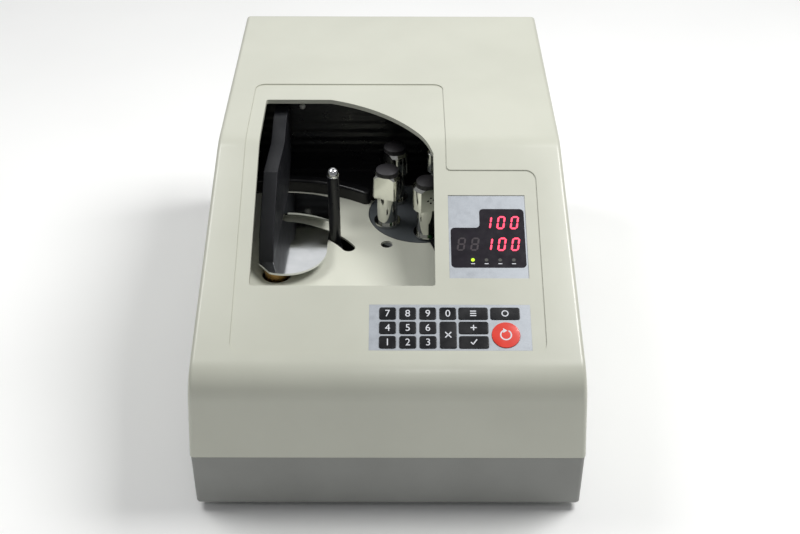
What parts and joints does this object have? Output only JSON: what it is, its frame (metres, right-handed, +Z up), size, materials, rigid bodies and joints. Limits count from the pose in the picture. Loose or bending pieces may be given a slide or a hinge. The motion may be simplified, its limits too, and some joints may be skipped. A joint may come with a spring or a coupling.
{
  "type": "banknote counting machine",
  "caption": "Table-top bundle counter: cream wedge cover with an open note chamber, swinging note holder, clamp rod, suction spindle carousel, keypad and digit display.",
  "frame": {"origin": "on the table, under the middle of the machine's bounding box", "axes": "+X to the operator's right, +Y from the operator's side to the rear, +Z up"},
  "size_m": [0.32, 0.474, 0.2332],
  "materials": {
    "base_grey": "satin powder coat",
    "cover_cream": "moulded, semi-gloss",
    "foot_rubber": "matte",
    "screw_steel": "zinc plated",
    "deck_cream": "satin paint",
    "motor_steel": "plated can",
    "liner_black": "semi-gloss black sheet",
    "guide_black": "moulded",
    "disc_grey": "hard anodised",
    "shaft_steel": "turned",
    "bearing_alloy": "die cast",
    "pulley_alloy": "turned",
    "belt_rubber": "matte",
    "gear_steel": "machined",
    "holder_black": "fine textured",
    "table_mirror": "polished sheet",
    "hub_brass": "turned",
    "rod_black": "black oxide",
    "ball_chrome": "polished",
    "spindle_chrome": "polished plating",
    "cap_black": "moulded",
    "overlay_silver": "silver printed film",
    "key_black": "moulded",
    "key_red": "moulded",
    "window_dark": "dark tinted acrylic",
    "board_green": "circuit board with parts",
    "pump_alloy": "die cast",
    "hose_rubber": "smooth",
    "inlet_black": "moulded",
    "switch_black": "moulded"
  },
  "bodies": {
    "root": {"base_tray": "base_grey", "top_cover": "cover_cream", "rubber_feet": "foot_rubber", "cover_screws": "screw_steel", "deck_plate": "deck_cream", "swing_motor": "motor_steel", "chamber_liner": "liner_black", "end_guide": "guide_black", "turntable_bearing": "bearing_alloy", "drive_belt": "belt_rubber", "carousel_motor": "motor_steel", "sun_gear": "gear_steel", "hub_bush": "bearing_alloy", "keypad_panel": "overlay_silver", "keypad_board": "board_green", "display_panel": "overlay_silver", "display_window": "window_dark", "display_board": "board_green", "control_board": "board_green", "vacuum_pump": "pump_alloy", "suction_hose": "hose_rubber", "power_supply": "board_green", "power_inlet": "inlet_black"},
    "turntable": {"turntable": "disc_grey", "turntable_shaft": "shaft_steel", "turntable_pulley": "pulley_alloy"},
    "holder": {"note_holder": "holder_black", "note_table": "table_mirror", "holder_hub": "hub_brass"},
    "clamp": {"clamp_arm": "shaft_steel", "clamp_rod": "rod_black", "clamp_ball": "ball_chrome"},
    "motor_pulley": {"motor_pulley": "pulley_alloy"},
    "power_switch": {"power_switch": "switch_black"},
    "spindle_1": {"spindle_1": "spindle_chrome", "spindle_cap_1": "cap_black"},
    "spindle_2": {"spindle_2": "spindle_chrome", "spindle_cap_2": "cap_black"},
    "spindle_3": {"spindle_3": "spindle_chrome", "spindle_cap_3": "cap_black"},
    "spindle_4": {"spindle_4": "spindle_chrome", "spindle_cap_4": "cap_black"},
    "spindle_5": {"spindle_5": "spindle_chrome", "spindle_cap_5": "cap_black"},
    "key_7": {"key_7": "key_black"},
    "key_8": {"key_8": "key_black"},
    "key_9": {"key_9": "key_black"},
    "key_0": {"key_0": "key_black"},
    "key_4": {"key_4": "key_black"},
    "key_5": {"key_5": "key_black"},
    "key_6": {"key_6": "key_black"},
    "key_1": {"key_1": "key_black"},
    "key_2": {"key_2": "key_black"},
    "key_3": {"key_3": "key_black"},
    "key_clear": {"key_clear": "key_black"},
    "key_batch": {"key_batch": "key_black"},
    "key_add": {"key_add": "key_black"},
    "key_check": {"key_check": "key_black"},
    "key_free": {"key_free": "key_black"},
    "key_reset": {"key_reset": "key_red"}
  },
  "joints": [
    {"name": "turntable_spin", "type": "hinge", "parent": "root", "child": "turntable", "pos_m": [0.0287, 0.0024, 0.138], "axis": [0, 0, 1], "continuous": true},
    {"name": "holder_swing", "type": "hinge", "parent": "root", "child": "holder", "pos_m": [-0.0967, -0.0925, 0.138], "axis": [0, 0, 1], "range_deg": [-32, 0]},
    {"name": "clamp_swing", "type": "hinge", "parent": "root", "child": "clamp", "pos_m": [-0.0967, -0.0925, 0.127], "axis": [0, 0, 1], "range_deg": [-14, 35]},
    {"name": "motor_spin", "type": "hinge", "parent": "root", "child": "motor_pulley", "pos_m": [0.0847, 0.0504, 0.09], "axis": [0, 0, 1], "continuous": true},
    {"name": "switch_rock", "type": "hinge", "parent": "root", "child": "power_switch", "pos_m": [-0.0835, 0.2316, 0.034], "axis": [1, 0, 0], "range_deg": [-16, 0]},
    {"name": "spindle_1_spin", "type": "hinge", "parent": "turntable", "child": "spindle_1", "pos_m": [-0.00193, -0.01281, 0.138], "axis": [0, 0, 1], "continuous": true},
    {"name": "spindle_2_spin", "type": "hinge", "parent": "turntable", "child": "spindle_2", "pos_m": [0.0337, -0.03143, 0.138], "axis": [0, 0, 1], "continuous": true},
    {"name": "spindle_3_spin", "type": "hinge", "parent": "turntable", "child": "spindle_3", "pos_m": [0.06242, -0.0033, 0.138], "axis": [0, 0, 1], "continuous": true},
    {"name": "spindle_4_spin", "type": "hinge", "parent": "turntable", "child": "spindle_4", "pos_m": [0.04455, 0.03271, 0.138], "axis": [0, 0, 1], "continuous": true},
    {"name": "spindle_5_spin", "type": "hinge", "parent": "turntable", "child": "spindle_5", "pos_m": [0.00477, 0.02684, 0.138], "axis": [0, 0, 1], "continuous": true},
    {"name": "key_7_press", "type": "slide", "parent": "root", "child": "key_7", "axis": [0, -0.3989, 0.917], "range_m": [-0.0006, 0], "stiffness_N_per_m": 400},
    {"name": "key_8_press", "type": "slide", "parent": "root", "child": "key_8", "axis": [0, -0.3989, 0.917], "range_m": [-0.0006, 0], "stiffness_N_per_m": 400},
    {"name": "key_9_press", "type": "slide", "parent": "root", "child": "key_9", "axis": [0, -0.3989, 0.917], "range_m": [-0.0006, 0], "stiffness_N_per_m": 400},
    {"name": "key_0_press", "type": "slide", "parent": "root", "child": "key_0", "axis": [0, -0.3989, 0.917], "range_m": [-0.0006, 0], "stiffness_N_per_m": 400},
    {"name": "key_4_press", "type": "slide", "parent": "root", "child": "key_4", "axis": [0, -0.3989, 0.917], "range_m": [-0.0006, 0], "stiffness_N_per_m": 400},
    {"name": "key_5_press", "type": "slide", "parent": "root", "child": "key_5", "axis": [0, -0.3989, 0.917], "range_m": [-0.0006, 0], "stiffness_N_per_m": 400},
    {"name": "key_6_press", "type": "slide", "parent": "root", "child": "key_6", "axis": [0, -0.3989, 0.917], "range_m": [-0.0006, 0], "stiffness_N_per_m": 400},
    {"name": "key_1_press", "type": "slide", "parent": "root", "child": "key_1", "axis": [0, -0.3989, 0.917], "range_m": [-0.0006, 0], "stiffness_N_per_m": 400},
    {"name": "key_2_press", "type": "slide", "parent": "root", "child": "key_2", "axis": [0, -0.3989, 0.917], "range_m": [-0.0006, 0], "stiffness_N_per_m": 400},
    {"name": "key_3_press", "type": "slide", "parent": "root", "child": "key_3", "axis": [0, -0.3989, 0.917], "range_m": [-0.0006, 0], "stiffness_N_per_m": 400},
    {"name": "key_clear_press", "type": "slide", "parent": "root", "child": "key_clear", "axis": [0, -0.3989, 0.917], "range_m": [-0.0006, 0], "stiffness_N_per_m": 400},
    {"name": "key_batch_press", "type": "slide", "parent": "root", "child": "key_batch", "axis": [0, -0.3989, 0.917], "range_m": [-0.0006, 0], "stiffness_N_per_m": 400},
    {"name": "key_add_press", "type": "slide", "parent": "root", "child": "key_add", "axis": [0, -0.3989, 0.917], "range_m": [-0.0006, 0], "stiffness_N_per_m": 400},
    {"name": "key_check_press", "type": "slide", "parent": "root", "child": "key_check", "axis": [0, -0.3989, 0.917], "range_m": [-0.0006, 0], "stiffness_N_per_m": 400},
    {"name": "key_free_press", "type": "slide", "parent": "root", "child": "key_free", "axis": [0, -0.3989, 0.917], "range_m": [-0.0006, 0], "stiffness_N_per_m": 400},
    {"name": "key_reset_press", "type": "slide", "parent": "root", "child": "key_reset", "axis": [0, -0.3989, 0.917], "range_m": [-0.0006, 0], "stiffness_N_per_m": 400}
  ],
  "couplings": [
    {"joint": "motor_spin", "follows": "turntable_spin", "ratio": 2},
    {"joint": "spindle_1_spin", "follows": "turntable_spin", "ratio": 2},
    {"joint": "spindle_2_spin", "follows": "turntable_spin", "ratio": 2},
    {"joint": "spindle_3_spin", "follows": "turntable_spin", "ratio": 2},
    {"joint": "spindle_4_spin", "follows": "turntable_spin", "ratio": 2},
    {"joint": "spindle_5_spin", "follows": "turntable_spin", "ratio": 2}
  ]
}
